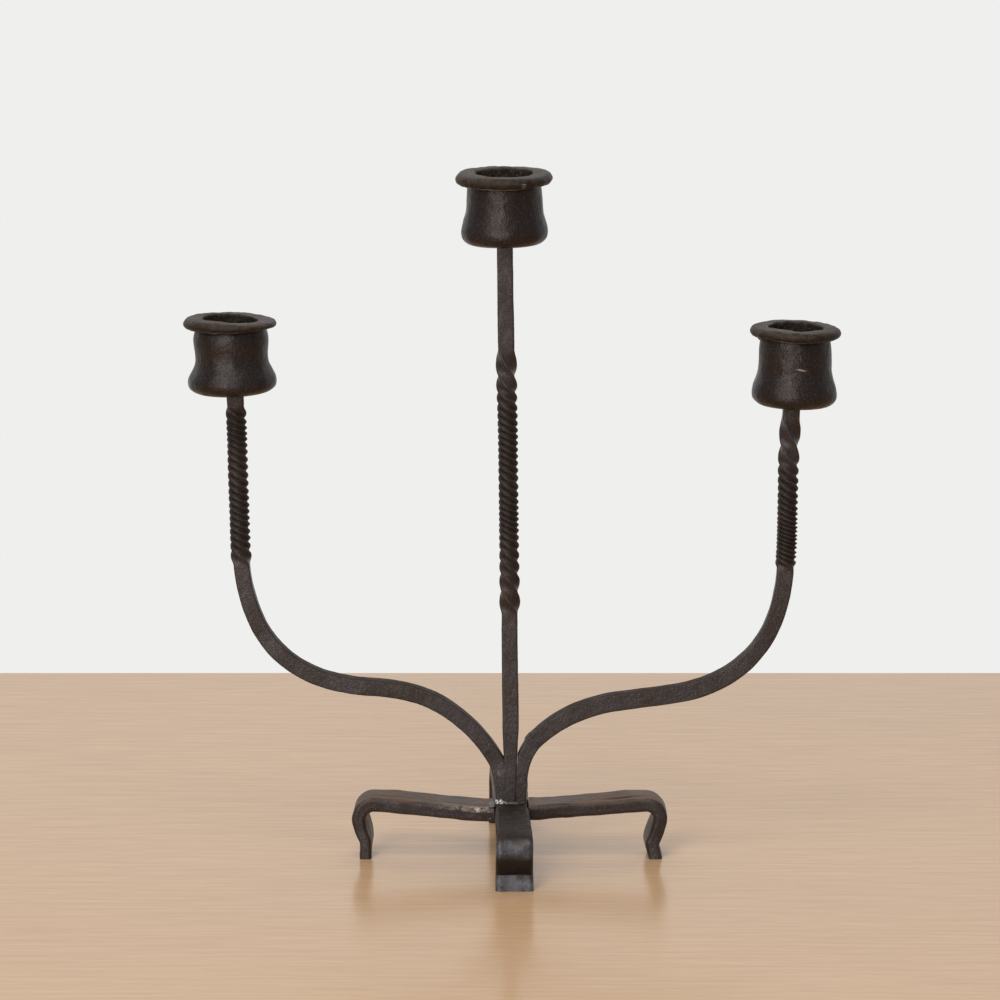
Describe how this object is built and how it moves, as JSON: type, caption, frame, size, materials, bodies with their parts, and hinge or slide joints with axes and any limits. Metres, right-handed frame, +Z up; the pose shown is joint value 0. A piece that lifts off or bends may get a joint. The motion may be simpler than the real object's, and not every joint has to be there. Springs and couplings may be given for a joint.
{
  "type": "tabletop candelabra",
  "caption": "Forged iron candelabra: a low cross-shaped base with turned-down feet, a straight twisted centre bar, two S-bent twisted arms, and a flared candle cup with a flat ring on each.",
  "frame": {"origin": "on the table, under the crossing of the two base bars", "axes": "+X to the right of someone facing it, +Y away from them, +Z up"},
  "size_m": [0.262, 0.1277, 0.2788],
  "materials": {
    "forged_iron": "blackened and waxed, hammered, rubbed brighter on the edges",
    "cup_iron": "blackened, smooth, slightly glossy",
    "braze": "darkened brown braze",
    "weld_metal": "bare weld spatter"
  },
  "bodies": {
    "root": {"base_bar_left_right": "forged_iron", "base_bar_front_back": "forged_iron", "centre_stem": "forged_iron", "left_arm": "forged_iron", "right_arm": "forged_iron", "centre_cup": "cup_iron", "left_cup": "cup_iron", "right_cup": "cup_iron", "centre_ring": "cup_iron", "left_ring": "cup_iron", "right_ring": "cup_iron", "centre_ring_braze": "braze", "left_ring_braze": "braze", "right_ring_braze": "braze", "stem_foot_weld": "weld_metal"}
  },
  "joints": []
}
